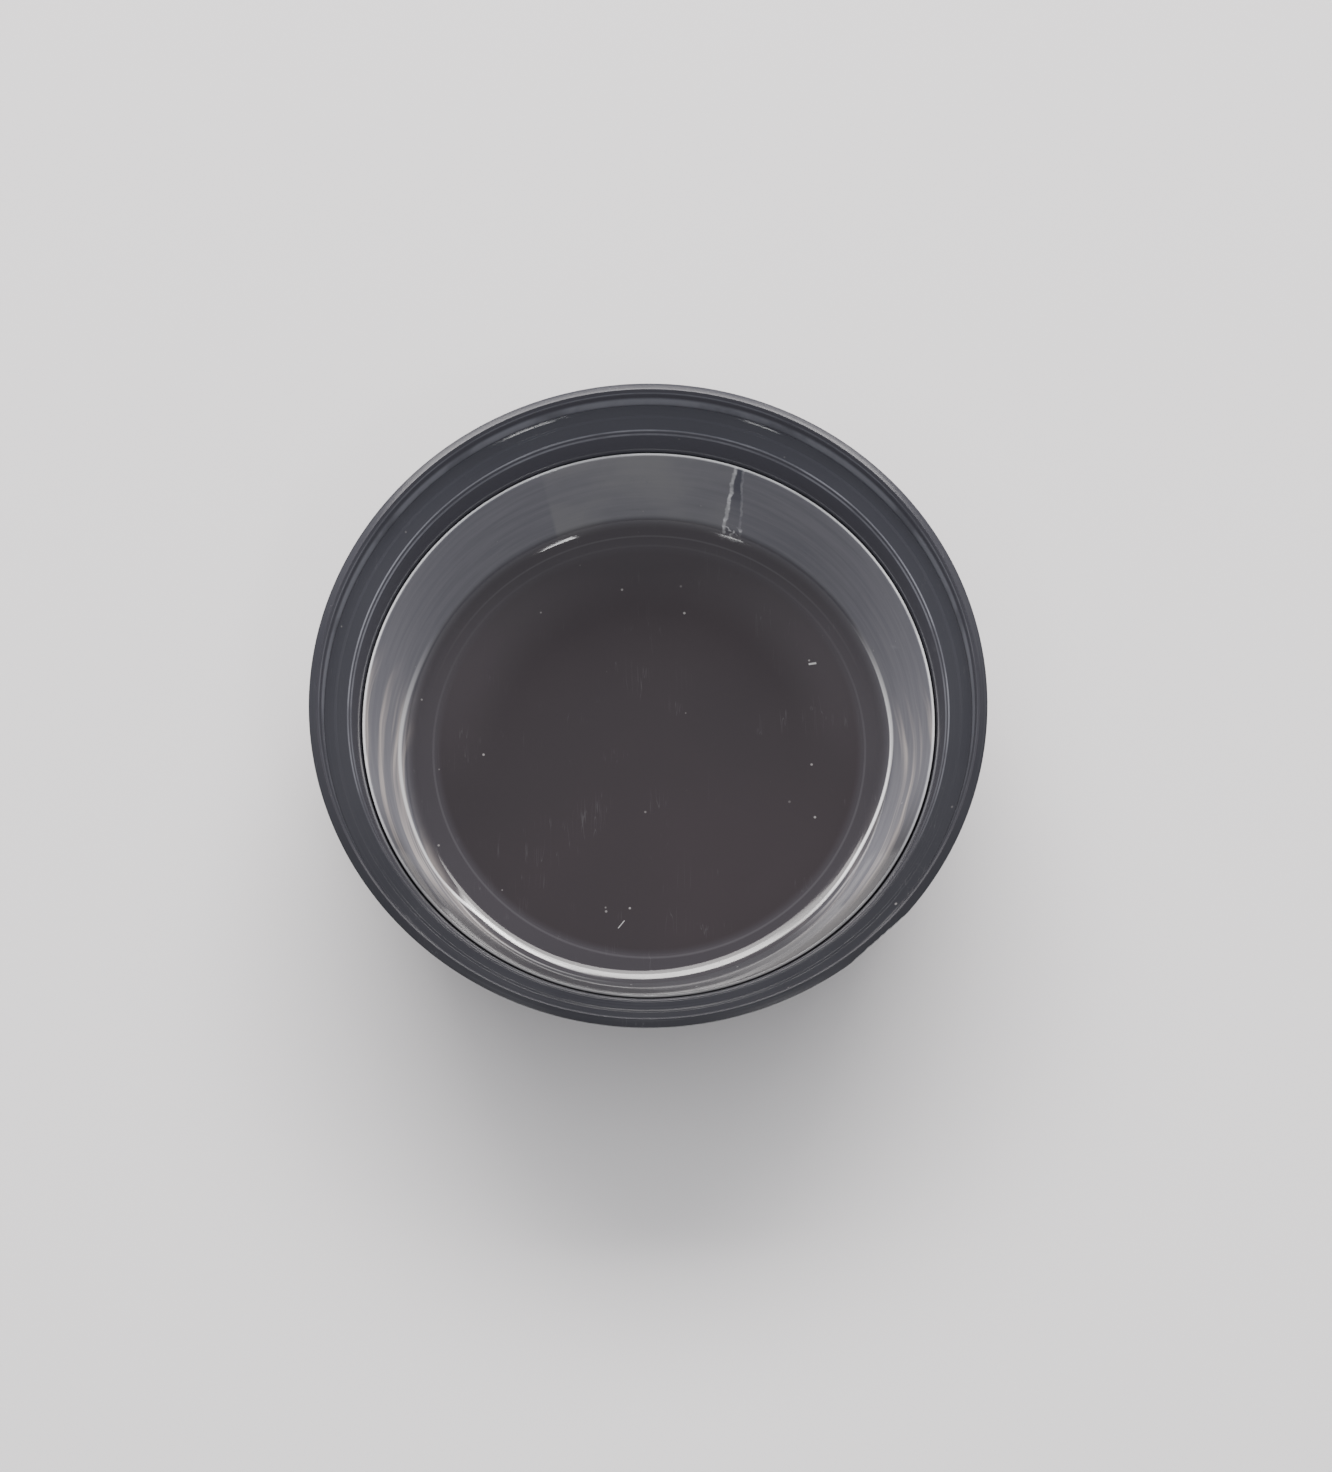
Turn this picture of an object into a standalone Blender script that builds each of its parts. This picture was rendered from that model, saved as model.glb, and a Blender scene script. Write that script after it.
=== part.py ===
"""Small black dappen dish: outer shell, stepped rim collar, lift-out well cup and non-slip foot pad.

Every piece is turned about +Z. The origin is the centre of the underside, on the surface it stands on.
Lengths below are in millimetres; the meshes are made in metres.
"""

import math

import bpy
import numpy as np

MM = 0.001

# Outer shell
RIM_RADIUS = 25.0          # outermost edge of the lip
LIP_TOP = 17.1             # highest point of the dish
LIP_THICKNESS = 0.78       # across the rounded top of the lip
BASE_RADIUS = 20.2         # outside of the foot
SHELL_BOTTOM = 0.6         # the pad stands this far below the shell

# Rim collar
COLLAR_RADIUS = 23.75      # outer edge, against the foot of the lip
COLLAR_TOP = 14.66
STEP_RADIUS = 23.23        # fine ridge round its top
STEP_TOP = 14.38
LEDGE_RADIUS = 22.32       # inner end of the ledge, where the collar turns down
LEDGE_TOP = 13.76
THROAT_RADIUS = 21.55      # lower inner edge
THROAT_BOTTOM = 11.25

# Well cup
CUP_RADIUS = 21.27         # outside of the cup's lip
CUP_TOP = 11.4
CUP_LIP = 0.42             # width of the cup's lip
FLOOR_RADIUS = 18.8        # where the wall would meet the floor if the corner were sharp
FLOOR_TOP = 3.9
FLOOR_FILLET = 1.3
CUP_BOTTOM = 2.9
DISC_RADIUS = 16.8         # shallow disc sunk into the well's floor
DISC_DEPTH = 0.08

# Foot pad
PAD_RADIUS = 18.4
PAD_TOP = 1.3

GAP = 0.3                  # air between neighbouring pieces

# Moulding gate trimmed flat on the lip
GATE_DIRECTION = 139.5     # degrees clockwise from +Y, seen from above
GATE_DEPTH = 0.16

SEGMENTS = 64
FINE_RADIUS = 0.18         # fillets smaller than this are a single chamfer
BROAD_RADIUS = 0.9         # fillets larger than this get three steps

BLACK = (0.018, 0.019, 0.022, 1.0)
SMOKE = (0.030, 0.029, 0.032, 1.0)
RUBBER = (0.014, 0.014, 0.015, 1.0)


def clear_scene():
    for obj in list(bpy.data.objects):
        bpy.data.objects.remove(obj, do_unlink=True)


def material(name, colour, roughness, metallic=0.0):
    mat = bpy.data.materials.new(name)
    mat.use_nodes = True
    shader = mat.node_tree.nodes["Principled BSDF"]
    shader.inputs["Base Color"].default_value = colour
    shader.inputs["Roughness"].default_value = roughness
    shader.inputs["Metallic"].default_value = metallic
    mat.diffuse_color = colour
    return mat


def corner(before, here, after, radius, steps):
    """Points of an arc that rounds the corner at here."""
    here = np.array(here, float)
    back = np.array(before, float) - here
    ahead = np.array(after, float) - here
    back_length = np.linalg.norm(back)
    ahead_length = np.linalg.norm(ahead)
    back /= back_length
    ahead /= ahead_length
    half = 0.5 * math.acos(np.clip(back @ ahead, -1.0, 1.0))
    reach = min(radius / math.tan(half), 0.49 * back_length, 0.49 * ahead_length)
    radius = reach * math.tan(half)
    middle = back + ahead
    middle /= np.linalg.norm(middle)
    centre = here + middle * radius / math.sin(half)
    start = here + back * reach - centre
    end = here + ahead * reach - centre
    sweep = math.pi - 2.0 * half
    side = 1.0 if start[0] * end[1] - start[1] * end[0] > 0 else -1.0
    points = []
    for step in range(steps + 1):
        angle = side * sweep * step / steps
        turn = np.array([[math.cos(angle), -math.sin(angle)], [math.sin(angle), math.cos(angle)]])
        points.append(tuple(centre + turn @ start))
    return points


def arc_steps(radius):
    if radius < FINE_RADIUS:
        return 1
    return 2 if radius < BROAD_RADIUS else 3


def rounded(profile):
    """Replaces each (r, z, radius) corner by an arc. Radius 0 leaves the corner sharp."""
    points = []
    count = len(profile)
    for index, (r, z, radius) in enumerate(profile):
        if radius <= 0.0:
            points.append((r, z))
            continue
        before = profile[index - 1][:2]
        after = profile[(index + 1) % count][:2]
        points += corner(before, (r, z), after, radius, arc_steps(radius))
    return points


def turned(name, profile, mat, trim=None):
    """A closed body of revolution. The profile runs counter-clockwise in the (r, z) plane."""
    points = rounded(profile)
    verts = []
    rings = []
    for r, z in points:
        if r < 1e-6:
            rings.append([len(verts)])
            verts.append((0.0, 0.0, z))
            continue
        ring = []
        for step in range(SEGMENTS):
            angle = 2.0 * math.pi * step / SEGMENTS
            ring.append(len(verts))
            verts.append((r * math.cos(angle), r * math.sin(angle), z))
        rings.append(ring)
    faces = []
    for index, lower in enumerate(rings):
        upper = rings[(index + 1) % len(rings)]
        if len(lower) == 1 and len(upper) == 1:
            continue
        for step in range(SEGMENTS):
            after = (step + 1) % SEGMENTS
            if len(lower) == 1:
                faces.append((lower[0], upper[after], upper[step]))
            elif len(upper) == 1:
                faces.append((lower[step], lower[after], upper[0]))
            else:
                faces.append((lower[step], lower[after], upper[after], upper[step]))
    if trim:
        verts = trim(verts)
    mesh = bpy.data.meshes.new(name)
    mesh.from_pydata([tuple(MM * value for value in vert) for vert in verts], [], faces)
    mesh.materials.append(mat)
    mesh.shade_smooth()
    mesh.set_sharp_from_angle(angle=math.radians(35.0))
    obj = bpy.data.objects.new(name, mesh)
    bpy.context.collection.objects.link(obj)
    return obj


def trim_gate(verts):
    """Presses the lip's outer edge flat where the moulding gate was cut off."""
    angle = math.radians(GATE_DIRECTION)
    direction = np.array([math.sin(angle), math.cos(angle)])
    limit = RIM_RADIUS - GATE_DEPTH
    trimmed = []
    for x, y, z in verts:
        over = x * direction[0] + y * direction[1] - limit
        if over > 0.0:
            x -= over * direction[0]
            y -= over * direction[1]
        trimmed.append((x, y, z))
    return trimmed


def shell_profile():
    """Outside up from the foot, over the lip, down the seat and the socket, and round the pad's recess."""
    lip_inside = RIM_RADIUS - LIP_THICKNESS
    socket_radius = FLOOR_RADIUS + 1.15
    socket_floor = CUP_BOTTOM - GAP
    ledge = THROAT_BOTTOM - GAP
    recess = PAD_RADIUS + GAP
    recess_top = PAD_TOP + GAP
    return [
        (0.0, recess_top, 0.0),
        (recess, recess_top, 0.15),
        (recess, SHELL_BOTTOM, 0.12),
        (BASE_RADIUS, SHELL_BOTTOM, 0.5),
        (21.9, 5.6, 6.0),
        (23.25, 10.6, 3.0),
        (24.3, 13.2, 0.6),
        (RIM_RADIUS, LIP_TOP, 0.36),
        (lip_inside, LIP_TOP, 0.36),
        (lip_inside, COLLAR_TOP + 0.7, 0.9),
        (COLLAR_RADIUS + GAP, COLLAR_TOP, 0.0),
        (COLLAR_RADIUS + GAP, COLLAR_TOP - 0.88, 0.2),
        (23.62, 13.62, 0.3),
        (22.72, 12.75, 0.5),
        (22.6, ledge, 0.15),
        (CUP_RADIUS + 0.4, ledge, 0.2),
        (socket_radius, socket_floor, 1.0),
        (0.0, socket_floor, 0.0),
    ]


def collar_profile():
    """Underside outwards, up the rim, and down the ridge and the ledge into the throat."""
    return [
        (THROAT_RADIUS, THROAT_BOTTOM, 0.1),
        (22.3, THROAT_BOTTOM, 0.15),
        (22.42, 12.98, 0.5),
        (23.5, 14.0, 0.3),
        (COLLAR_RADIUS, 14.12, 0.1),
        (COLLAR_RADIUS, COLLAR_TOP, 0.1),
        (STEP_RADIUS + 0.1, STEP_TOP + 0.06, 0.0),
        (STEP_RADIUS - 0.06, STEP_TOP - 0.1, 0.0),
        (LEDGE_RADIUS, LEDGE_TOP, 0.22),
        (THROAT_RADIUS + 0.1, THROAT_BOTTOM + 0.5, 0.3),
    ]


def cup_profile():
    """Underside outwards, up the outer wall, over the lip and down to the well's floor."""
    outer_foot = FLOOR_RADIUS + 0.75
    return [
        (0.0, CUP_BOTTOM, 0.0),
        (outer_foot, CUP_BOTTOM, 1.0),
        (CUP_RADIUS, CUP_TOP - 1.1, 0.3),
        (CUP_RADIUS, CUP_TOP, 0.2),
        (CUP_RADIUS - CUP_LIP, CUP_TOP, 0.2),
        (FLOOR_RADIUS, FLOOR_TOP, FLOOR_FILLET),
        (DISC_RADIUS + 0.12, FLOOR_TOP, 0.0),
        (DISC_RADIUS - 0.12, FLOOR_TOP - DISC_DEPTH, 0.0),
        (0.0, FLOOR_TOP - DISC_DEPTH, 0.0),
    ]


def pad_profile():
    return [
        (0.0, 0.0, 0.0),
        (PAD_RADIUS - 0.25, 0.0, 0.0),
        (PAD_RADIUS, 0.25, 0.0),
        (PAD_RADIUS, PAD_TOP - 0.15, 0.0),
        (PAD_RADIUS - 0.15, PAD_TOP, 0.0),
        (0.0, PAD_TOP, 0.0),
    ]


def build():
    clear_scene()
    turned("outer_shell", shell_profile(), material("outer_shell", BLACK, 0.16), trim=trim_gate)
    turned("rim_collar", collar_profile(), material("rim_collar", BLACK, 0.14))
    turned("well_cup", cup_profile(), material("well_cup", SMOKE, 0.12))
    turned("foot_pad", pad_profile(), material("foot_pad", RUBBER, 0.7))


build()
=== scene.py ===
"""The look of the black dappen dish: turned pieces, procedural plastics, soft light and the camera.

Lengths are in millimetres in the row frame, unless a line says metres. Directions on the dish are
degrees clockwise from +Y, seen from above. Near means towards -Y, where the camera is, and far
means towards +Y.
"""

import math

import bpy
import numpy as np
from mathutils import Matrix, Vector


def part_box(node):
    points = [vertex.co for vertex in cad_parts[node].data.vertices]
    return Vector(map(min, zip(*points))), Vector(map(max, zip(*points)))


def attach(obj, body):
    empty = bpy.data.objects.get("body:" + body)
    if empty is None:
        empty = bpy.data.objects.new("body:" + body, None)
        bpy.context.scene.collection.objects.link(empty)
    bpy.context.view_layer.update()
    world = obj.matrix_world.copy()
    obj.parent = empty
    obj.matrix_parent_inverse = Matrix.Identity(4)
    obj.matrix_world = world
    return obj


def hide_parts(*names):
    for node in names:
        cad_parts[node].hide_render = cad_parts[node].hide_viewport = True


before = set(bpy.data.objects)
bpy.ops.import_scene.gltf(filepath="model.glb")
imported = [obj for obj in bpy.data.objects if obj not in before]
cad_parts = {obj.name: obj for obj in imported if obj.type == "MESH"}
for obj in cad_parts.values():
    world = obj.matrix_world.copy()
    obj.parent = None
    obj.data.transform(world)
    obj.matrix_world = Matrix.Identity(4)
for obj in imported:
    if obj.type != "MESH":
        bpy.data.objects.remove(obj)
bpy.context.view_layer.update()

MM = 0.001
MM_PER_METRE = 1000.0
DISH = "dish"
CUP = "cup"
SEAM = 0.05                # hairline gap between neighbouring pieces

# Shell
RIM_RADIUS = 25.0
RIM_EDGE = 16.925          # height of the lip's outer edge
LIP_TOP = 17.1
LIP_SAG = 0.03             # how much lower the outer edge lies at the left and right
SAG_REACH = 0.7            # sine of the direction where the sag is complete
CREST_RADIUS = 24.42       # inner edge of the lip's top
LIP_FOOT = 24.06           # where the lip's inner face meets the collar
BASE_RADIUS = 20.2
SHELL_BOTTOM = 0.6
SOCKET_RADIUS = 19.95      # foot of the socket that holds the cup

# Gate mark: the flat where the mould's gate was trimmed off the lip
GATE_DIRECTION = 139.5
GATE_HALF_WIDTH = 6.5      # degrees
GATE_DEPTH = 0.16
RAGGED = [(0.03, 9.3, 0.0), (0.025, 21.7, 1.0)]    # depth, radians a degree, phase

# Collar
COLLAR_RADIUS = 24.0
COLLAR_TOP = 15.0
STEP_RADIUS = 23.3
STEP_TOP = 14.55
LEDGE_RADIUS = 22.34
LEDGE_TOP = 13.9
THROAT_RADIUS = 21.68
THROAT_BOTTOM = 11.25

# Cup: its wall turns into a narrow sloping ring, the heel, and then into the floor
CUP_RADIUS = 21.62
CUP_TOP = 11.42
CUP_LIP = 0.26
HEEL_RADIUS = 18.77
HEEL_TOP = 4.196
FLOOR_EDGE = 18.0
FLOOR_TOP = 3.9
FLOOR_DRIFT = 0.2          # how far the floor's edge is off centre
DRIFT_DIRECTION = 330.0
HEEL_LEAN = 0.3            # how far the near part of the heel leans to the left
SKIN = 0.02                # tolerance when picking points by their height
DISC_RADIUS = 16.8
DISC_DEPTH = 0.08
CUP_BOTTOM = 2.9

# Marks on the cup's wall
WELD_DIRECTION = 19.4
PATCH_DIRECTION = -21.3    # the pale patch of painted light runs from here to the weld

# Pad
PAD_RADIUS = 18.4
PAD_TOP = 1.3

# Painted highlight lines along edges: (radius, height, width, strength)
SHELL_EDGE_HIGHLIGHTS = [
    (CREST_RADIUS - 0.16, LIP_TOP - 0.45, 0.10, 0.25),
    (LIP_FOOT + 0.04, COLLAR_TOP + 0.55, 0.45, 0.65),
]
COLLAR_EDGE_HIGHLIGHTS = [
    (LEDGE_RADIUS + 0.03, LEDGE_TOP + 0.03, 0.09, 0.40),
    (LEDGE_RADIUS - 0.12, LEDGE_TOP - 0.34, 0.09, 0.34),
]

# Lint lying in the well: (x, y, degrees, length, width)
LINT = [
    (13.0, 6.6, 8.0, 0.66, 0.2),
    (-2.4, -14.2, 50.0, 0.85, 0.08),
]

# Meshes
SEGMENTS = 480
ARC_STEP = math.radians(9.0)
SHARP_ANGLE = math.radians(28.0)
MOST_REACH = 0.49          # share of an edge that a rounded corner may take
ON_AXIS = 1e-6

# Camera
VIEW_ELEVATION = 71.52
VIEW_DISTANCE = 200.0
VIEW_LENS = 66.1
VIEW_SENSOR = 36.0
VIEW_CLIP = (0.01, 20.0)   # metres
RIM_PLANE = 15.4           # height of the plane that the camera aims at
AIM_RIGHT = 1.26           # from the dish's axis to the middle of the view
AIM_UP = -2.71

# Room, in metres
ROOM_HALF = 1.5
LIGHT_AIM = 0.012          # height that the lights point at
WINDOW_HEIGHT = 0.34

# Colours of the lights
WHITE = (1.0, 1.0, 1.0)
WINDOW_TINT = (1.0, 0.97, 0.95)
GLOW_TINT = (1.0, 0.98, 0.97)


# ---------------- turned meshes

def corner(before, here, after, radius):
    """Points of an arc that rounds the corner at here."""
    here = np.array(here, float)
    back = np.array(before, float) - here
    ahead = np.array(after, float) - here
    back_length = np.linalg.norm(back)
    ahead_length = np.linalg.norm(ahead)
    back /= back_length
    ahead /= ahead_length
    half = 0.5 * math.acos(np.clip(back @ ahead, -1.0, 1.0))
    reach = min(radius / math.tan(half), MOST_REACH * back_length, MOST_REACH * ahead_length)
    radius = reach * math.tan(half)
    middle = back + ahead
    middle /= np.linalg.norm(middle)
    centre = here + middle * radius / math.sin(half)
    start = here + back * reach - centre
    end = here + ahead * reach - centre
    sweep = math.pi - 2.0 * half
    side = 1.0 if start[0] * end[1] - start[1] * end[0] > 0 else -1.0
    steps = max(2, math.ceil(sweep / ARC_STEP))
    points = []
    for step in range(steps + 1):
        angle = side * sweep * step / steps
        c, s = math.cos(angle), math.sin(angle)
        points.append(tuple(centre + np.array([[c, -s], [s, c]]) @ start))
    return points


def rounded(profile):
    """Replaces each (r, z, radius) corner by an arc. Radius 0 leaves the corner sharp."""
    points = []
    count = len(profile)
    for index, (r, z, radius) in enumerate(profile):
        if radius <= 0.0:
            points.append((r, z))
            continue
        before = profile[index - 1][:2]
        after = profile[(index + 1) % count][:2]
        points += corner(before, (r, z), after, radius)
    return points


def turned_mesh(name, profile, shape=None):
    """A closed mesh of revolution. shape(radii, heights, angles) may move its points."""
    angles = np.arange(SEGMENTS) * 2.0 * math.pi / SEGMENTS
    verts = []
    rings = []
    for r, z in rounded(profile):
        if r < ON_AXIS:
            rings.append([len(verts)])
            verts.append((0.0, 0.0, z))
            continue
        radii = np.full(SEGMENTS, r)
        heights = np.full(SEGMENTS, z)
        if shape:
            radii, heights = shape(radii, heights, angles)
        rings.append(list(range(len(verts), len(verts) + SEGMENTS)))
        verts += list(zip(radii * np.cos(angles), radii * np.sin(angles), heights))
    faces = []
    for index, lower in enumerate(rings):
        upper = rings[(index + 1) % len(rings)]
        if len(lower) == 1 and len(upper) == 1:
            continue
        for step in range(SEGMENTS):
            after = (step + 1) % SEGMENTS
            if len(lower) == 1:
                faces.append((lower[0], upper[after], upper[step]))
            elif len(upper) == 1:
                faces.append((lower[step], lower[after], upper[0]))
            else:
                faces.append((lower[step], lower[after], upper[after], upper[step]))
    mesh = bpy.data.meshes.new(name)
    mesh.from_pydata([tuple(MM * value for value in vert) for vert in verts], [], faces)
    mesh.shade_smooth()
    mesh.set_sharp_from_angle(angle=SHARP_ANGLE)
    return mesh


def add_object(name, data):
    obj = bpy.data.objects.new(name, data)
    bpy.context.collection.objects.link(obj)
    return obj


def add_piece(name, mesh, mat, body, replaced):
    """Puts one visible piece on its body, in place of the CAD node."""
    obj = add_object(name, mesh)
    mesh.materials.append(mat)
    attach(obj, body)
    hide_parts(replaced)


# ---------------- profiles: (radius, height, rounding)

def shell_profile():
    """Out of the pad's recess, up the outside, over the lip, and down the seat and the socket."""
    socket_floor = CUP_BOTTOM - SEAM
    ledge = THROAT_BOTTOM - SEAM
    recess = PAD_RADIUS + SEAM
    recess_top = PAD_TOP + SEAM
    return [
        (0.0, recess_top, 0.0),
        (recess, recess_top, 0.15),
        (recess, SHELL_BOTTOM, 0.12),
        (BASE_RADIUS, SHELL_BOTTOM, 0.5),
        (21.9, 5.6, 6.0),
        (23.25, 10.6, 3.0),
        (24.2, 13.4, 0.6),
        (RIM_RADIUS - 0.05, RIM_EDGE - 0.5, 0.1),
        (RIM_RADIUS, RIM_EDGE, 0.06),
        (CREST_RADIUS, LIP_TOP, 0.02),
        (CREST_RADIUS - 0.14, LIP_TOP - 0.42, 0.06),
        (CREST_RADIUS - 0.20, LIP_TOP - 0.48, 0.06),
        (LIP_FOOT + 0.04, COLLAR_TOP + 0.5, 0.4),
        (LIP_FOOT, COLLAR_TOP + 0.05, 0.0),
        (LIP_FOOT, COLLAR_TOP - 1.0, 0.2),
        (23.62, 13.75, 0.3),
        (22.72, 12.9, 0.5),
        (22.6, ledge, 0.15),
        (CUP_RADIUS + 0.2, ledge, 0.2),
        (SOCKET_RADIUS, socket_floor, 1.0),
        (0.0, socket_floor, 0.0),
    ]


def collar_profile():
    """Underside outwards, up the rim, and down the ridge and the ledge into the throat."""
    return [
        (THROAT_RADIUS, THROAT_BOTTOM, 0.1),
        (22.35, THROAT_BOTTOM, 0.15),
        (22.42, 12.98, 0.5),
        (23.5, 14.0, 0.3),
        (COLLAR_RADIUS, 14.12, 0.1),
        (COLLAR_RADIUS, COLLAR_TOP, 0.03),
        (COLLAR_RADIUS - 0.2, COLLAR_TOP - 0.113, 0.1),
        (STEP_RADIUS + 0.04, STEP_TOP - 0.01, 0.05),
        (STEP_RADIUS - 0.16, STEP_TOP - 0.045, 0.04),
        (LEDGE_RADIUS + 0.12, LEDGE_TOP + 0.035, 0.05),
        (LEDGE_RADIUS, LEDGE_TOP + 0.02, 0.03),
        (LEDGE_RADIUS - 0.1, LEDGE_TOP - 0.3, 0.08),
        (LEDGE_RADIUS - 0.2, LEDGE_TOP - 0.42, 0.08),
        (THROAT_RADIUS + 0.08, THROAT_BOTTOM + 0.6, 0.3),
    ]


def cup_profile():
    """Underside outwards, up the outer wall, over the lip and down to the well's floor."""
    return [
        (0.0, CUP_BOTTOM, 0.0),
        (19.55, CUP_BOTTOM, 1.0),
        (CUP_RADIUS - 0.02, CUP_TOP - 1.1, 0.3),
        (CUP_RADIUS, CUP_TOP, 0.12),
        (CUP_RADIUS - CUP_LIP, CUP_TOP, 0.12),
        (HEEL_RADIUS + 0.09, HEEL_TOP + 0.075, 0.3),
        (HEEL_RADIUS - 0.17, HEEL_TOP - 0.067, 0.15),
        (FLOOR_EDGE + 0.28, FLOOR_TOP + 0.094, 0.6),
        (FLOOR_EDGE, FLOOR_TOP, 0.5),
        (DISC_RADIUS + 0.2, FLOOR_TOP, 0.3),
        (DISC_RADIUS - 0.2, FLOOR_TOP - DISC_DEPTH, 0.3),
        (0.0, FLOOR_TOP - DISC_DEPTH, 0.0),
    ]


def pad_profile():
    """Underside outwards, up the edge and back over the top."""
    return [
        (0.0, 0.0, 0.0),
        (PAD_RADIUS - 0.25, 0.0, 0.2),
        (PAD_RADIUS, 0.25, 0.2),
        (PAD_RADIUS, PAD_TOP - 0.15, 0.1),
        (PAD_RADIUS - 0.15, PAD_TOP, 0.1),
        (0.0, PAD_TOP, 0.0),
    ]


def clockwise(angles):
    """Directions on the dish, from angles measured anticlockwise from +X."""
    return (90.0 - np.degrees(angles)) % 360.0


def lip_shape(widest):
    """Fits the shell to the CAD box, cuts the ragged gate flat, and makes the lip's edge sag."""
    scale = min(1.0, widest / RIM_RADIUS)

    def shape(radii, heights, angles):
        radii = radii * scale
        turn = clockwise(angles)
        off = np.radians(turn - GATE_DIRECTION)
        rough = sum(depth * np.sin(turn * waves + phase) for depth, waves, phase in RAGGED)
        inside = np.clip(1.0 - (np.degrees(np.abs(off)) / GATE_HALF_WIDTH) ** 4, 0.0, 1.0)
        chord = (RIM_RADIUS * scale - GATE_DEPTH) / np.maximum(np.cos(off), 0.5)
        chord = chord - np.abs(rough) * inside
        if RIM_EDGE - 0.1 < heights[0] < LIP_TOP - 0.1:
            side = np.clip(np.abs(np.sin(np.radians(turn))) / SAG_REACH, 0.0, 1.0)
            heights = heights - LIP_SAG * side ** 2
        return np.where(inside > 0.0, np.minimum(radii, chord), radii), heights

    return shape


def heel_shape(radii, heights, angles):
    """Moves the floor's edge off centre, and lets the near part of the heel lean to the left."""
    turn = np.radians(clockwise(angles))
    radius, height = radii[0], heights[0]
    share = np.clip(1.0 - abs(radius - FLOOR_EDGE) / (HEEL_RADIUS - FLOOR_EDGE), 0.0, 1.0)
    share = share * (FLOOR_TOP - SKIN < height < HEEL_TOP)
    drift = share * FLOOR_DRIFT * np.cos(turn - math.radians(DRIFT_DIRECTION))
    on_heel = (
        FLOOR_EDGE - 0.5 < radius < HEEL_RADIUS + 0.4
        and FLOOR_TOP - SKIN < height < HEEL_TOP + 0.4
    )
    lean = on_heel * HEEL_LEAN * np.sin(2.0 * turn) * (np.cos(turn) < 0.0)
    return radii + drift + lean, heights


# ---------------- node graphs

MIX_A, MIX_B, MIX_RESULT = 6, 7, 2     # the mix node's sockets that carry colours
LINE_CORE = 0.3                        # share of a line's width that is at full strength
RARITY = (0.55, 0.95)                  # random values between which a cell gains its speck


class Graph:
    """Short calls for building one material's nodes."""

    def __init__(self, name):
        self.mat = bpy.data.materials.new(name)
        self.mat.use_nodes = True
        self.tree = self.mat.node_tree
        self.shader = self.tree.nodes["Principled BSDF"]
        self.coords = None

    def feed(self, socket, value):
        if isinstance(value, bpy.types.NodeSocket):
            self.tree.links.new(value, socket)
        else:
            socket.default_value = value

    def add(self, kind, *values):
        """A new node with its first sockets fed."""
        node = self.tree.nodes.new(kind)
        for socket, value in zip(node.inputs, values):
            self.feed(socket, value)
        return node

    def coordinate(self, name):
        if self.coords is None:
            self.coords = self.add("ShaderNodeTexCoord")
        return self.coords.outputs[name]

    def point(self):
        """Position in the row frame, in metres."""
        return self.coordinate("Object")

    def math(self, operation, *values, clamp=False):
        node = self.add("ShaderNodeMath", *values)
        node.operation = operation
        node.use_clamp = clamp
        return node.outputs[0]

    def plus(self, a, b):
        return self.math("ADD", a, b)

    def minus(self, a, b):
        return self.math("SUBTRACT", a, b)

    def times(self, a, b):
        return self.math("MULTIPLY", a, b)

    def larger(self, a, b):
        return self.math("MAXIMUM", a, b)

    def size(self, a):
        return self.math("ABSOLUTE", a)

    def mix(self, factor, a, b):
        """Colour a where factor is 0, and b where it is 1."""
        node = self.add("ShaderNodeMix", factor)
        node.data_type = "RGBA"
        self.feed(node.inputs[MIX_A], a)
        self.feed(node.inputs[MIX_B], b)
        return node.outputs[MIX_RESULT]

    def ramp(self, value, low, high, out_low=0.0, out_high=1.0, smooth=True):
        """out_low up to low, out_high from high on, and a soft or a straight slope between."""
        node = self.add("ShaderNodeMapRange", value, low, high, out_low, out_high)
        if smooth:
            node.interpolation_type = "SMOOTHSTEP"
        return node.outputs[0]

    def line(self, value, place, width):
        """1 where value is at place, fading to 0 at width away from it."""
        return self.ramp(self.size(self.minus(value, place)), width, width * LINE_CORE)

    def band(self, value, low, high, soft):
        """1 where value is between low and high, with soft ends."""
        return self.times(self.ramp(value, low - soft, low), self.ramp(value, high + soft, high))

    def split(self, vector):
        return self.add("ShaderNodeSeparateXYZ", vector).outputs

    def join(self, x, y, z):
        return self.add("ShaderNodeCombineXYZ", x, y, z).outputs[0]

    def noise(self, vector, scale, detail=3.0, rough=0.5):
        node = self.add("ShaderNodeTexNoise", vector)
        self.feed(node.inputs["Scale"], scale)
        self.feed(node.inputs["Detail"], detail)
        self.feed(node.inputs["Roughness"], rough)
        return node.outputs[0]

    def specks(self, scale, size):
        """1 on small round specks, 0 elsewhere."""
        node = self.add("ShaderNodeTexVoronoi", self.point())
        self.feed(node.inputs["Scale"], scale)
        rare = self.split(node.outputs["Color"])[0]
        near = self.ramp(node.outputs["Distance"], size, size * 0.5)
        return self.times(near, self.ramp(rare, *RARITY))

    def bump(self, height, strength, distance):
        node = self.tree.nodes.new("ShaderNodeBump")
        self.feed(node.inputs["Height"], height)
        self.feed(node.inputs["Strength"], strength)
        self.feed(node.inputs["Distance"], distance)
        return node.outputs[0]

    def dress(self, colour, rough, normal):
        """Feeds the shader."""
        self.feed(self.shader.inputs["Base Color"], colour)
        self.feed(self.shader.inputs["Roughness"], rough)
        self.feed(self.shader.inputs["Normal"], normal)


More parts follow.
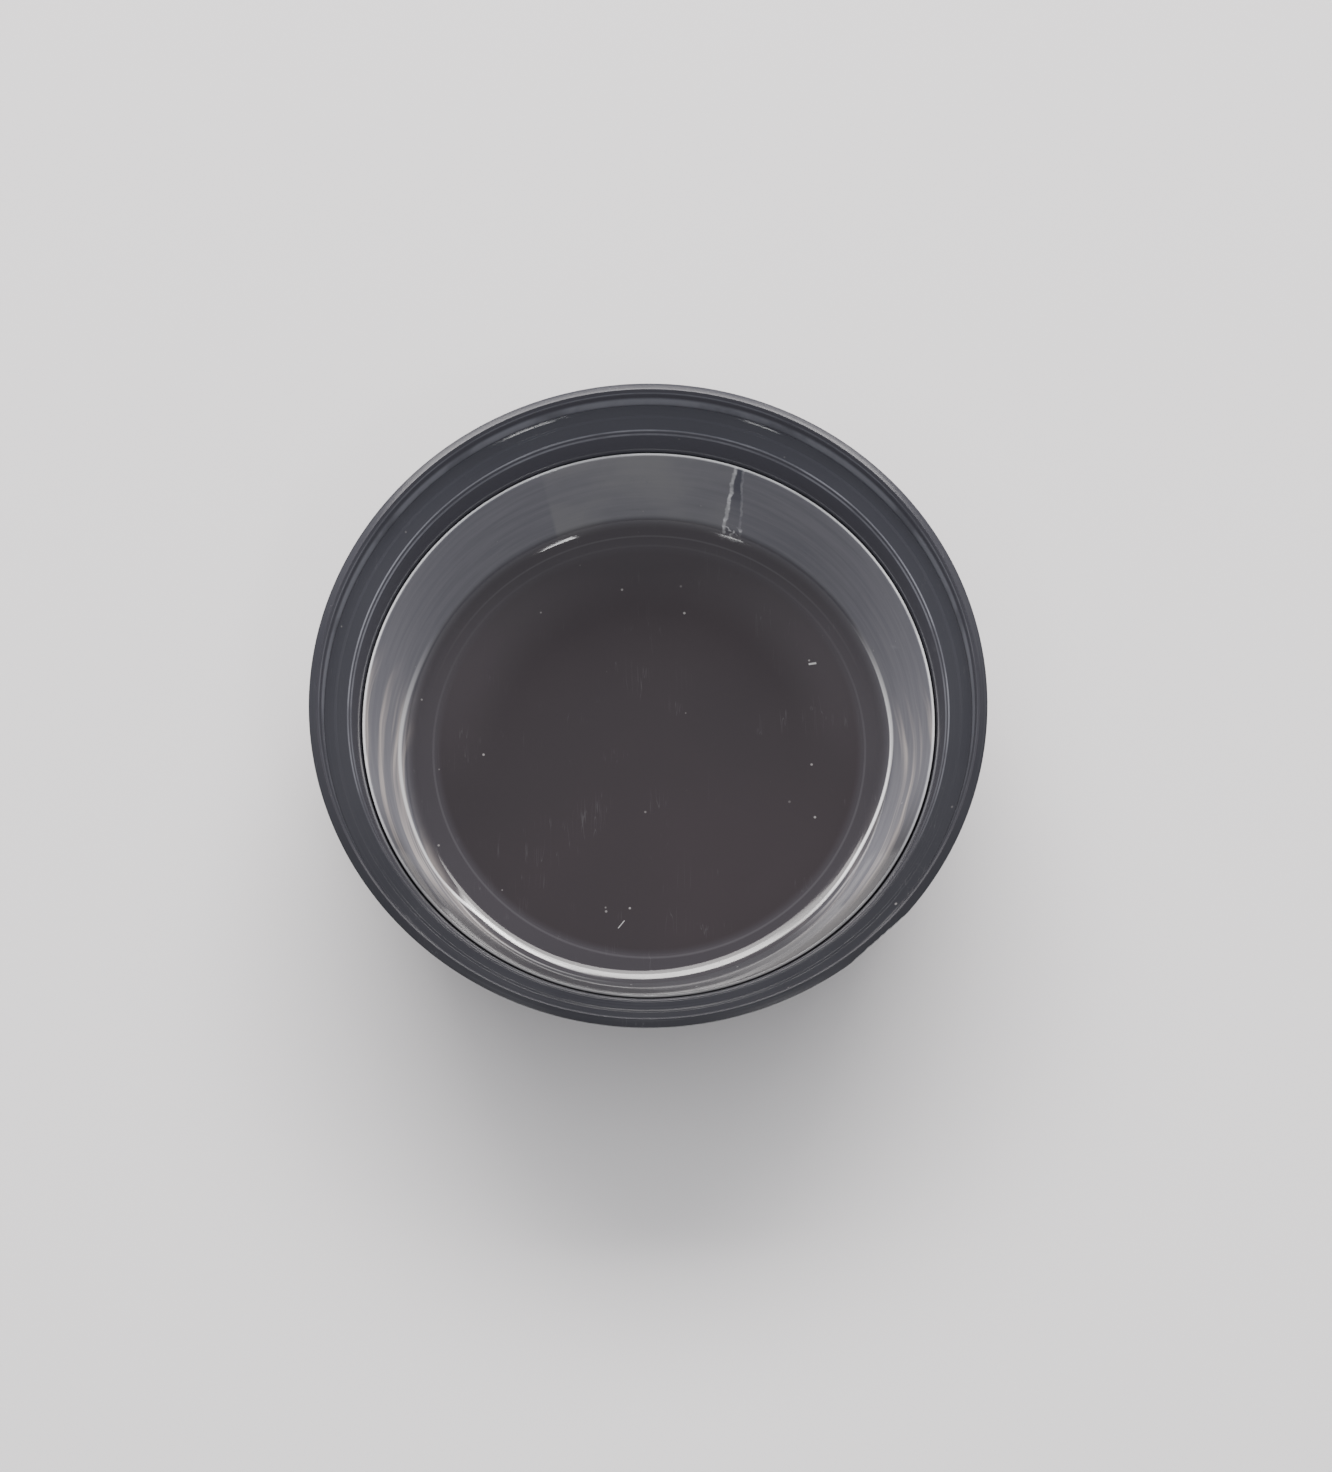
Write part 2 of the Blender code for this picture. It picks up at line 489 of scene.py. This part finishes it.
class DishGraph(Graph):
    """A graph that knows where on the dish the shaded point is.

    radius and height are in millimetres. turn is the direction, from -180 to 180, and aside is its
    size. inward is 1 on an upright face that looks at the axis, and -1 on one that looks away.
    """

    def __init__(self, name):
        super().__init__(name)
        x, y, z = self.split(self.point())
        metres = self.math("SQRT", self.plus(self.times(x, x), self.times(y, y)))
        self.radius = self.times(metres, MM_PER_METRE)
        self.height = self.times(z, MM_PER_METRE)
        self.turn = self.times(self.math("ARCTAN2", x, y), 180.0 / math.pi)
        self.aside = self.size(self.turn)
        across, along, _ = self.split(self.coordinate("Normal"))
        outward = self.plus(self.times(x, across), self.times(y, along))
        self.inward = self.times(self.math("DIVIDE", outward, metres), -1.0)

    def wrapped(self, around, across):
        """Coordinates that stretch a texture round the dish: its streaks follow the turning."""
        angle = self.times(self.turn, math.pi / 180.0)
        c = self.times(self.math("COSINE", angle), around)
        s = self.times(self.math("SINE", angle), around)
        return self.join(c, s, self.times(self.plus(self.radius, self.height), across))


def tone(red, green, blue):
    """A linear colour with full alpha."""
    return (red, green, blue, 1.0)


# ---------------- dust, scratches and turning lines

DUST_TONE = tone(0.26, 0.25, 0.25)
DUST_SCALE = 620.0
DUST_SIZE = 0.08
SCRATCH_TONE = tone(0.12, 0.12, 0.13)
SCRATCH_ANGLES = (0.35, 1.3, 2.4)
SCRATCH_SCALE = 1500.0
SCRATCH_STRETCH = 0.06
SCRATCH_WIDTH = 0.008
GLOSS_BUMP = (0.3, 0.00002)          # strength, and depth in metres
POLISH = 0.05                        # roughness of the clean plastic


def scratches(graph):
    """Sparse straight hairline scratches, 1 on a scratch."""
    total = None
    for index, angle in enumerate(SCRATCH_ANGLES):
        turned = graph.add("ShaderNodeMapping", graph.point())
        turned.inputs["Rotation"].default_value = (0.0, 0.0, angle)
        turned.inputs["Scale"].default_value = (
            SCRATCH_SCALE, SCRATCH_SCALE * SCRATCH_STRETCH, SCRATCH_SCALE,
        )
        turned.inputs["Location"].default_value = (3.1 * index, 1.7 * index, 0.4)
        ripple = graph.noise(turned.outputs[0], 1.0, 2.0, 0.5)
        scratch = graph.ramp(graph.size(graph.minus(ripple, 0.5)), SCRATCH_WIDTH, 0.0)
        patch = graph.noise(graph.point(), 260.0 + 60.0 * index, 1.0)
        scratch = graph.times(scratch, graph.ramp(patch, 0.60, 0.72))
        total = scratch if total is None else graph.larger(total, scratch)
    return total


def finish_gloss(graph, colour, rough, lines, line_height):
    """Adds dust, hairline scratches, smudges and fine turning lines to a glossy plastic."""
    dust = graph.specks(DUST_SCALE, DUST_SIZE)
    scratch = scratches(graph)
    colour = graph.mix(graph.times(scratch, 0.15), colour, SCRATCH_TONE)
    colour = graph.mix(graph.times(dust, 0.6), colour, DUST_TONE)
    smudge = graph.noise(graph.point(), 120.0, 4.0, 0.6)
    rough = graph.plus(rough, graph.ramp(smudge, 0.4, 0.75, 0.0, 0.06))
    rough = graph.plus(rough, graph.times(dust, 0.4))
    rough = graph.math("ADD", rough, graph.times(scratch, 0.12), clamp=True)
    height = graph.times(lines, line_height)
    height = graph.plus(height, graph.times(dust, 0.6))
    height = graph.minus(height, graph.times(scratch, 0.2))
    graph.dress(colour, rough, graph.bump(height, *GLOSS_BUMP))


# ---------------- black plastic of the shell and the collar

# The near half of the shell and the collar is painted darker than the far half: painted shade.
SHELL_TONE = tone(0.044, 0.044, 0.054)         # far half
COLLAR_TONE = tone(0.060, 0.061, 0.074)
NEAR_SHADE_TONE = tone(0.0212, 0.0215, 0.0258)       # painted shade on the near half of both
OUTSIDE_TONE = tone(0.026, 0.026, 0.031)
CLOUD_TONE = tone(0.2, 0.2, 0.22)
LINE_TONE = tone(0.055, 0.056, 0.062)
# Painted light: the steep inner faces are painted paler, more on the far half than the near.
NEAR_STEEP_LIGHT = tone(0.052, 0.052, 0.061)
FAR_STEEP_LIGHT = tone(0.100, 0.100, 0.118)
# Tone of the painted highlight lines along edges.
EDGE_HIGHLIGHT_TONE = tone(0.40, 0.41, 0.46)
BLACK_IOR = 1.36
BLACK_FADE = (30.0, 140.0)                     # degrees aside, from the far tone to the painted shade of the near tone
STEEP_LIGHT_FADE = (60.0, 140.0)
EDGE_HIGHLIGHT_FADE = (70.0, 130.0)
NEAR_HIGHLIGHT_SHARE = 0.06                            # what the near half keeps of the painted highlight lines
LIP_SATIN = 0.14                               # how much rougher the lip's top is


def edge_highlight(graph, place, broken, fade):
    """Strength of the painted highlight, a pale broken line along one edge."""
    radius, height, width, strength = place
    edge = graph.times(
        graph.line(graph.radius, radius, width),
        graph.line(graph.height, height, width * 1.6),
    )
    edge = graph.times(edge, graph.ramp(broken, 0.35, 0.6, 0.45 * strength, strength))
    return graph.times(edge, fade)


def black_plastic(name, far_tone, highlight_edges):
    """Glossy black plastic with painted shade, and painted light on steep inner faces and along
    edges.
    """
    graph = DishGraph(name)
    lines = graph.noise(graph.wrapped(1.6, 9.0), 1.0, 3.0, 0.6)
    cloud = graph.noise(graph.point(), 70.0, 3.0)
    # Painted shade: the near half is darker than the far half.
    base = graph.mix(graph.ramp(graph.aside, *BLACK_FADE, 1.0, 0.0), NEAR_SHADE_TONE, far_tone)
    base = graph.mix(graph.ramp(graph.inward, -0.5, -0.8), base, OUTSIDE_TONE)
    colour = graph.mix(graph.ramp(cloud, 0.35, 0.7, 0.0, 0.03), base, CLOUD_TONE)
    colour = graph.mix(graph.ramp(lines, 0.55, 0.75, 0.0, 0.35), colour, LINE_TONE)
    # Painted light on the steep inner faces, paler on the far half.
    steep_light = graph.mix(graph.ramp(graph.aside, *STEEP_LIGHT_FADE, 1.0, 0.0), NEAR_STEEP_LIGHT, FAR_STEEP_LIGHT)
    colour = graph.mix(graph.ramp(graph.inward, 0.66, 0.94), colour, steep_light)
    broken = graph.noise(graph.point(), 260.0, 3.0)
    fade = graph.ramp(graph.aside, *EDGE_HIGHLIGHT_FADE, 1.0, NEAR_HIGHLIGHT_SHARE)
    # Painted highlights: pale lines along edges, faint on the near half.
    for place in highlight_edges:
        colour = graph.mix(edge_highlight(graph, place, broken, fade), colour, EDGE_HIGHLIGHT_TONE)
    satin = graph.ramp(graph.height, LIP_TOP - 0.3, LIP_TOP - 0.2, POLISH, POLISH + LIP_SATIN)
    finish_gloss(graph, colour, satin, lines, 0.7)
    graph.shader.inputs["IOR"].default_value = BLACK_IOR
    return graph.mat


# ---------------- smoky plastic of the cup

FLOOR_TONES = (tone(0.022, 0.0195, 0.0225), tone(0.032, 0.026, 0.029))
FLOOR_BORDER = tone(0.044, 0.041, 0.048)       # floor outside the shallow disc
FLOOR_FAR_LIGHT = tone(0.068, 0.061, 0.068)         # painted light on the far part of the floor
DISC_LINE = tone(0.45, 0.45, 0.48)
FAR_EDGE_HIGHLIGHT = tone(0.45, 0.45, 0.47)
WALL_TONES = (tone(0.200, 0.201, 0.228), tone(0.236, 0.235, 0.260))
PATCH_LIGHT_TONE = tone(0.29, 0.29, 0.298)
REFLECTION_BAND_TONE = tone(0.62, 0.56, 0.535)
SHADE_TONE = tone(0.045, 0.045, 0.048)         # painted shade on the near part of the wall
WELD_DARK = tone(0.05, 0.055, 0.08)
WELD_GLINT_TONE = tone(0.93, 0.94, 0.96)
# Painted highlight on the cup's lip.
LIP_HIGHLIGHT_TONE = tone(0.90, 0.91, 0.93)
CUP_OUTSIDE = tone(0.028, 0.028, 0.032)
CORNER_HIGHLIGHT_TONE = tone(0.95, 0.95, 0.97)
LINT_TONE = tone(0.42, 0.42, 0.42)
SMOKE_IOR = 1.5
LEFT_BANDS = (-140.0, -92.0, 22.0)             # from, to and softness, in degrees
RIGHT_BANDS = (98.0, 138.0, 20.0)
BAND_SLANT = 0.0075                            # share of the wall's height for each degree
BAND_WARP = 0.35
WALL_FADE = (118.0, 153.0)                     # degrees aside, from the wall's tones to the painted shade
CORNER_WIDTH = 0.16                            # of the painted highlight along the foot of the wall


def reflection_bands(graph, rise):
    """Smooth slanting bands of painted reflection on the left and the right of the wall, 0 to 1."""
    side = graph.minus(180.0, graph.aside)
    slant = graph.plus(rise, graph.times(side, BAND_SLANT))
    warp = graph.noise(graph.point(), 90.0, 2.0)
    slant = graph.plus(slant, graph.times(warp, BAND_WARP))
    place = graph.join(graph.times(slant, 4.6), graph.times(graph.turn, 0.012), 0.3)
    bands = graph.ramp(graph.noise(place, 1.0, 3.0, 0.6), 0.43, 0.66)
    left = graph.band(graph.turn, *LEFT_BANDS)
    right = graph.band(graph.turn, *RIGHT_BANDS)
    return graph.times(bands, graph.plus(left, right))


def weld_line(graph, rise):
    """(pale, dark) masks of the sliver where the plastic met in the mould.

    It has a dark middle and painted glints: bright near edge, thin leaning far edge, specks at
    foot.
    """
    wiggle = graph.times(graph.minus(graph.noise(graph.point(), 900.0, 3.0), 0.5), 1.5)
    place = graph.plus(graph.turn, wiggle)
    broken = graph.ramp(graph.noise(graph.point(), 1300.0, 2.0), 0.35, 0.6, 0.35, 1.0)
    near_edge = graph.times(
        graph.line(place, WELD_DIRECTION, 0.55),
        graph.times(broken, graph.ramp(rise, 0.75, 0.45, 0.6, 1.0)),
    )
    spread = graph.minus(place, graph.times(graph.minus(1.0, rise), 2.4))
    far_edge = graph.times(
        graph.line(spread, WELD_DIRECTION + 1.7, 0.4),
        graph.times(broken, 0.15),
    )
    foot = graph.times(
        graph.band(graph.turn, WELD_DIRECTION, WELD_DIRECTION + 4.5, 0.6),
        graph.ramp(rise, 0.16, 0.04),
    )
    specks = graph.times(foot, graph.ramp(graph.noise(graph.point(), 2600.0, 2.0), 0.5, 0.62))
    # Painted glints along the weld line.
    pale = graph.larger(near_edge, graph.larger(far_edge, specks))
    dark = graph.times(
        graph.ramp(place, WELD_DIRECTION, WELD_DIRECTION + 0.5),
        graph.ramp(spread, WELD_DIRECTION + 1.9, WELD_DIRECTION + 1.2),
    )
    return pale, graph.times(dark, graph.ramp(rise, 0.2, 0.8))


def corner_highlight(graph):
    """1 on the painted highlight, a fine pale line along the foot of the wall, at the left and
    right.
    """
    right = graph.times(
        graph.line(graph.radius, graph.ramp(graph.turn, 85.0, 122.0, 18.92, 18.25), CORNER_WIDTH),
        graph.band(graph.turn, 88.0, 116.0, 32.0),
    )
    leftward = graph.times(graph.turn, -1.0)
    place = graph.minus(
        graph.ramp(leftward, 118.0, 140.0, 19.38, 18.7),
        graph.ramp(leftward, 105.0, 62.0, 0.0, 0.33),
    )
    left = graph.times(
        graph.line(graph.radius, place, CORNER_WIDTH),
        graph.band(leftward, 100.0, 130.0, 44.0),
    )
    above = graph.ramp(graph.height, FLOOR_TOP - 0.2, FLOOR_TOP)
    return graph.times(graph.larger(right, left), above)


def fibre(graph, x, y, angle, length, width):
    """1 on a short straight fibre centred at (x, y), lying on the floor."""
    across, along, _ = graph.split(graph.point())
    across = graph.minus(graph.times(across, MM_PER_METRE), x)
    along = graph.minus(graph.times(along, MM_PER_METRE), y)
    c = math.cos(math.radians(angle))
    s = math.sin(math.radians(angle))
    u = graph.plus(graph.times(across, c), graph.times(along, s))
    v = graph.minus(graph.times(along, c), graph.times(across, s))
    inside = graph.times(
        graph.ramp(graph.size(u), 0.5 * length, 0.4 * length),
        graph.ramp(graph.size(v), 0.5 * width, 0.25 * width),
    )
    return graph.times(inside, graph.ramp(graph.height, FLOOR_TOP + 0.2, FLOOR_TOP + 0.1))


def floor_colour(graph):
    """Dark floor, paler outside its disc, painted lighter at the far side, with a faint line round
    the disc.
    """
    colour = graph.mix(graph.noise(graph.point(), 45.0, 3.0), *FLOOR_TONES)
    border = graph.ramp(graph.radius, DISC_RADIUS - 0.7, DISC_RADIUS, 0.0, 0.65)
    colour = graph.mix(border, colour, FLOOR_BORDER)
    disc_edge = graph.times(graph.line(graph.radius, DISC_RADIUS + 0.05, 0.12), 0.035)
    colour = graph.mix(disc_edge, colour, DISC_LINE)
    # Painted light: the far part of the floor is paler.
    back = graph.times(
        graph.ramp(graph.aside, 110.0, 50.0),
        graph.ramp(graph.radius, 11.0, 16.5, 0.0, 0.5),
    )
    return graph.mix(back, colour, FLOOR_FAR_LIGHT)


def wall_shade(graph, rise):
    """Where painted shade darkens the near part of the wall under the lip, and on the left."""
    under_lip = graph.times(graph.ramp(graph.aside, 100.0, 125.0), graph.ramp(rise, 0.5, 0.85))
    left = graph.times(graph.ramp(graph.turn, -112.0, -138.0), graph.ramp(rise, 0.15, 0.6))
    return graph.times(graph.larger(under_lip, left), 0.85)


def lip_highlight(graph):
    """Painted highlight along the inner edge of the cup's lip, faint on the near half."""
    edge = graph.times(
        graph.line(graph.radius, CUP_RADIUS - 0.11, 0.15),
        graph.ramp(graph.height, CUP_TOP - 0.16, CUP_TOP - 0.06),
    )
    broken = graph.ramp(graph.noise(graph.point(), 200.0, 2.0), 0.3, 0.6, 0.5, 1.0)
    return graph.times(edge, graph.times(graph.ramp(graph.aside, 60.0, 130.0, 1.0, 0.12), broken))


def wall_colour(graph, streak):
    """Cloudy grey wall, one weld line, and painted light: patch, bands, shade, glints, lip
    highlight.
    """
    rise = graph.ramp(graph.height, HEEL_TOP, CUP_TOP, smooth=False)
    colour = graph.mix(graph.ramp(streak, 0.3, 0.7), *WALL_TONES)
    # Painted light: a paler patch on the wall, from the patch's direction to the weld.
    patch = graph.band(graph.turn, PATCH_DIRECTION, WELD_DIRECTION, 1.0)
    cloud = graph.ramp(graph.noise(graph.point(), 150.0, 3.0), 0.3, 0.7, 0.15, 0.75)
    colour = graph.mix(graph.times(patch, cloud), colour, PATCH_LIGHT_TONE)
    # Painted reflection: pale bands on the left and the right of the wall.
    colour = graph.mix(reflection_bands(graph, rise), colour, REFLECTION_BAND_TONE)
    # Painted shade: the near part of the wall, under the lip and on the left, is darker.
    colour = graph.mix(graph.ramp(graph.aside, *WALL_FADE, 0.0, 0.88), colour, SHADE_TONE)
    colour = graph.mix(wall_shade(graph, rise), colour, SHADE_TONE)
    weld_glint, weld_dark = weld_line(graph, rise)
    colour = graph.mix(graph.times(weld_dark, 0.55), colour, WELD_DARK)
    # Painted glints on the weld line.
    colour = graph.mix(weld_glint, colour, WELD_GLINT_TONE)
    # Painted highlight along the inner edge of the cup's lip.
    return graph.mix(lip_highlight(graph), colour, LIP_HIGHLIGHT_TONE)


def smoke_plastic(name):
    """Glossy smoky plastic: dark floor, cloudy grey wall, black outside, and lint in the well."""
    graph = DishGraph(name)
    streak = graph.noise(graph.wrapped(2.2, 1.6), 1.0, 4.0, 0.6)
    wall = wall_colour(graph, streak)
    inside = graph.ramp(graph.inward, -0.7, -0.2)
    on_wall = graph.times(graph.ramp(graph.height, HEEL_TOP - 0.3, HEEL_TOP + 0.8), inside)
    outside = graph.ramp(graph.inward, -0.2, -0.7)
    colour = graph.mix(on_wall, graph.mix(outside, floor_colour(graph), CUP_OUTSIDE), wall)
    # Painted highlight: a faint pale line along the floor's edge on the far side.
    far_edge = graph.times(
        graph.line(graph.radius, FLOOR_EDGE - 0.35, 0.11),
        graph.ramp(graph.aside, 80.0, 30.0, 0.0, 0.05),
    )
    colour = graph.mix(far_edge, colour, FAR_EDGE_HIGHLIGHT)
    # Painted highlight along the foot of the wall, at the left and the right.
    colour = graph.mix(graph.times(corner_highlight(graph), 0.9), colour, CORNER_HIGHLIGHT_TONE)
    for lint in LINT:
        colour = graph.mix(graph.times(fibre(graph, *lint), 0.8), colour, LINT_TONE)
    satin = graph.times(
        graph.line(graph.radius, FLOOR_EDGE - 0.1, 1.1),
        graph.ramp(graph.aside, 80.0, 120.0, 0.0, 0.03),
    )
    finish_gloss(graph, colour, graph.plus(satin, POLISH), streak, 0.3)
    graph.shader.inputs["IOR"].default_value = SMOKE_IOR
    return graph.mat


# ---------------- rubber of the pad

RUBBER_TONES = (tone(0.012, 0.012, 0.013), tone(0.03, 0.03, 0.031))
RUBBER_LINT = tone(0.25, 0.25, 0.25)
RUBBER_BUMP = (0.5, 0.00004)


def rubber(name):
    """Matt black silicone with a fine grain and specks of lint."""
    graph = Graph(name)
    grain = graph.noise(graph.point(), 2600.0, 3.0)
    cloud = graph.noise(graph.point(), 140.0, 4.0)
    colour = graph.mix(graph.ramp(cloud, 0.35, 0.7), *RUBBER_TONES)
    colour = graph.mix(graph.times(graph.specks(700.0, 0.18), 0.7), colour, RUBBER_LINT)
    graph.dress(colour, graph.ramp(grain, 0.3, 0.7, 0.62, 0.8), graph.bump(grain, *RUBBER_BUMP))
    return graph.mat


# ---------------- pieces

def build_dish():
    """The four pieces, each on the body that it moves with."""
    _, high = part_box("outer_shell")
    shell = turned_mesh("shell_body", shell_profile(), lip_shape(high[0] / MM))
    shell_black = black_plastic("shell_black", SHELL_TONE, SHELL_EDGE_HIGHLIGHTS)
    add_piece("shell_body", shell, shell_black, DISH, "outer_shell")
    collar = turned_mesh("collar_ring", collar_profile())
    collar_black = black_plastic("collar_black", COLLAR_TONE, COLLAR_EDGE_HIGHLIGHTS)
    add_piece("collar_ring", collar, collar_black, DISH, "rim_collar")
    cup = turned_mesh("well_liner", cup_profile(), heel_shape)
    add_piece("well_liner", cup, smoke_plastic("cup_smoke"), CUP, "well_cup")
    pad = turned_mesh("pad_disc", pad_profile())
    add_piece("pad_disc", pad, rubber("pad_rubber"), DISH, "foot_pad")


# ---------------- floor, light and camera

PALE_TONE = tone(0.76, 0.745, 0.755)
PALE_ROUGH = 0.7
ROOM_TONE = tone(0.96, 0.96, 1.0)
ROOM_STRENGTH = 0.34


def build_floor():
    """The plain pale floor that the dish stands on."""
    graph = Graph("floor_pale")
    graph.shader.inputs["Base Color"].default_value = PALE_TONE
    graph.shader.inputs["Roughness"].default_value = PALE_ROUGH
    mesh = bpy.data.meshes.new("floor")
    corners = [(-1, -1), (1, -1), (1, 1), (-1, 1)]
    mesh.from_pydata([(ROOM_HALF * x, ROOM_HALF * y, 0) for x, y in corners], [], [(0, 1, 2, 3)])
    mesh.materials.append(graph.mat)
    obj = add_object("floor", mesh)


def place_round(turn, elevation, distance):
    """The place in this direction, at this elevation and distance from the dish."""
    turn = math.radians(turn)
    elevation = math.radians(elevation)
    level = distance * math.cos(elevation)
    return Vector((level * math.sin(turn), level * math.cos(turn), distance * math.sin(elevation)))


def panel(name, turn, elevation, distance, size, power, tint=WHITE, glossy=True, diffuse=True):
    """A soft rectangle of light facing the dish, with its distance and size in metres."""
    data = bpy.data.lights.new(name, "AREA")
    data.shape = "RECTANGLE"
    data.size, data.size_y = size
    data.energy = power
    data.color = tint
    obj = add_object(name, data)
    place = place_round(turn, elevation, distance)
    obj.location = place
    obj.rotation_mode = "QUATERNION"
    obj.rotation_quaternion = (Vector((0.0, 0.0, LIGHT_AIM)) - place).to_track_quat("-Z", "Y")
    obj.visible_glossy = glossy
    obj.visible_diffuse = diffuse


def build_light():
    """A window on the far side, its narrow reflection, light from above, and two small lamps."""
    world = bpy.data.worlds.new("room")
    world.use_nodes = True
    shade = world.node_tree.nodes["Background"]
    shade.inputs["Color"].default_value = ROOM_TONE
    shade.inputs["Strength"].default_value = ROOM_STRENGTH
    bpy.context.scene.world = world
    panel("window", 0.0, 44.0, 0.9, (0.86, WINDOW_HEIGHT), 9.3, WINDOW_TINT)
    panel("window_wide", 0.0, 44.0, 0.91, (1.3, WINDOW_HEIGHT), 7.5, WINDOW_TINT, glossy=False)
    panel("glow", 0.0, 42.0, 0.88, (0.8, 0.09), 4.6, GLOW_TINT, diffuse=False)
    panel("ceiling", 0.0, 84.0, 0.9, (1.2, 1.2), 7.0, glossy=False)
    panel("lamp_right", 147.0, 55.0, 0.99, (0.13, 0.09), 0.85)
    panel("lamp_left", 214.0, 55.0, 0.99, (0.08, 0.07), 0.26)


def build_camera():
    """The camera, aimed at the plane of the rim from the near side."""
    data = bpy.data.cameras.new("camera")
    data.lens = VIEW_LENS
    data.sensor_width = VIEW_SENSOR
    data.clip_start, data.clip_end = VIEW_CLIP
    camera = add_object("camera", data)
    tilt = math.radians(VIEW_ELEVATION)
    back = Vector((0.0, -math.cos(tilt), math.sin(tilt)))
    up = Vector((0.0, math.sin(tilt), math.cos(tilt)))
    centre = Vector((0.0, 0.0, RIM_PLANE))
    place = centre + back * VIEW_DISTANCE
    aim = centre + Vector((AIM_RIGHT, 0.0, 0.0)) + up * AIM_UP
    camera.location = place * MM
    camera.rotation_mode = "QUATERNION"
    camera.rotation_quaternion = (aim - place).to_track_quat("-Z", "Y")
    bpy.context.scene.camera = camera


build_dish()
build_floor()
build_light()
build_camera()
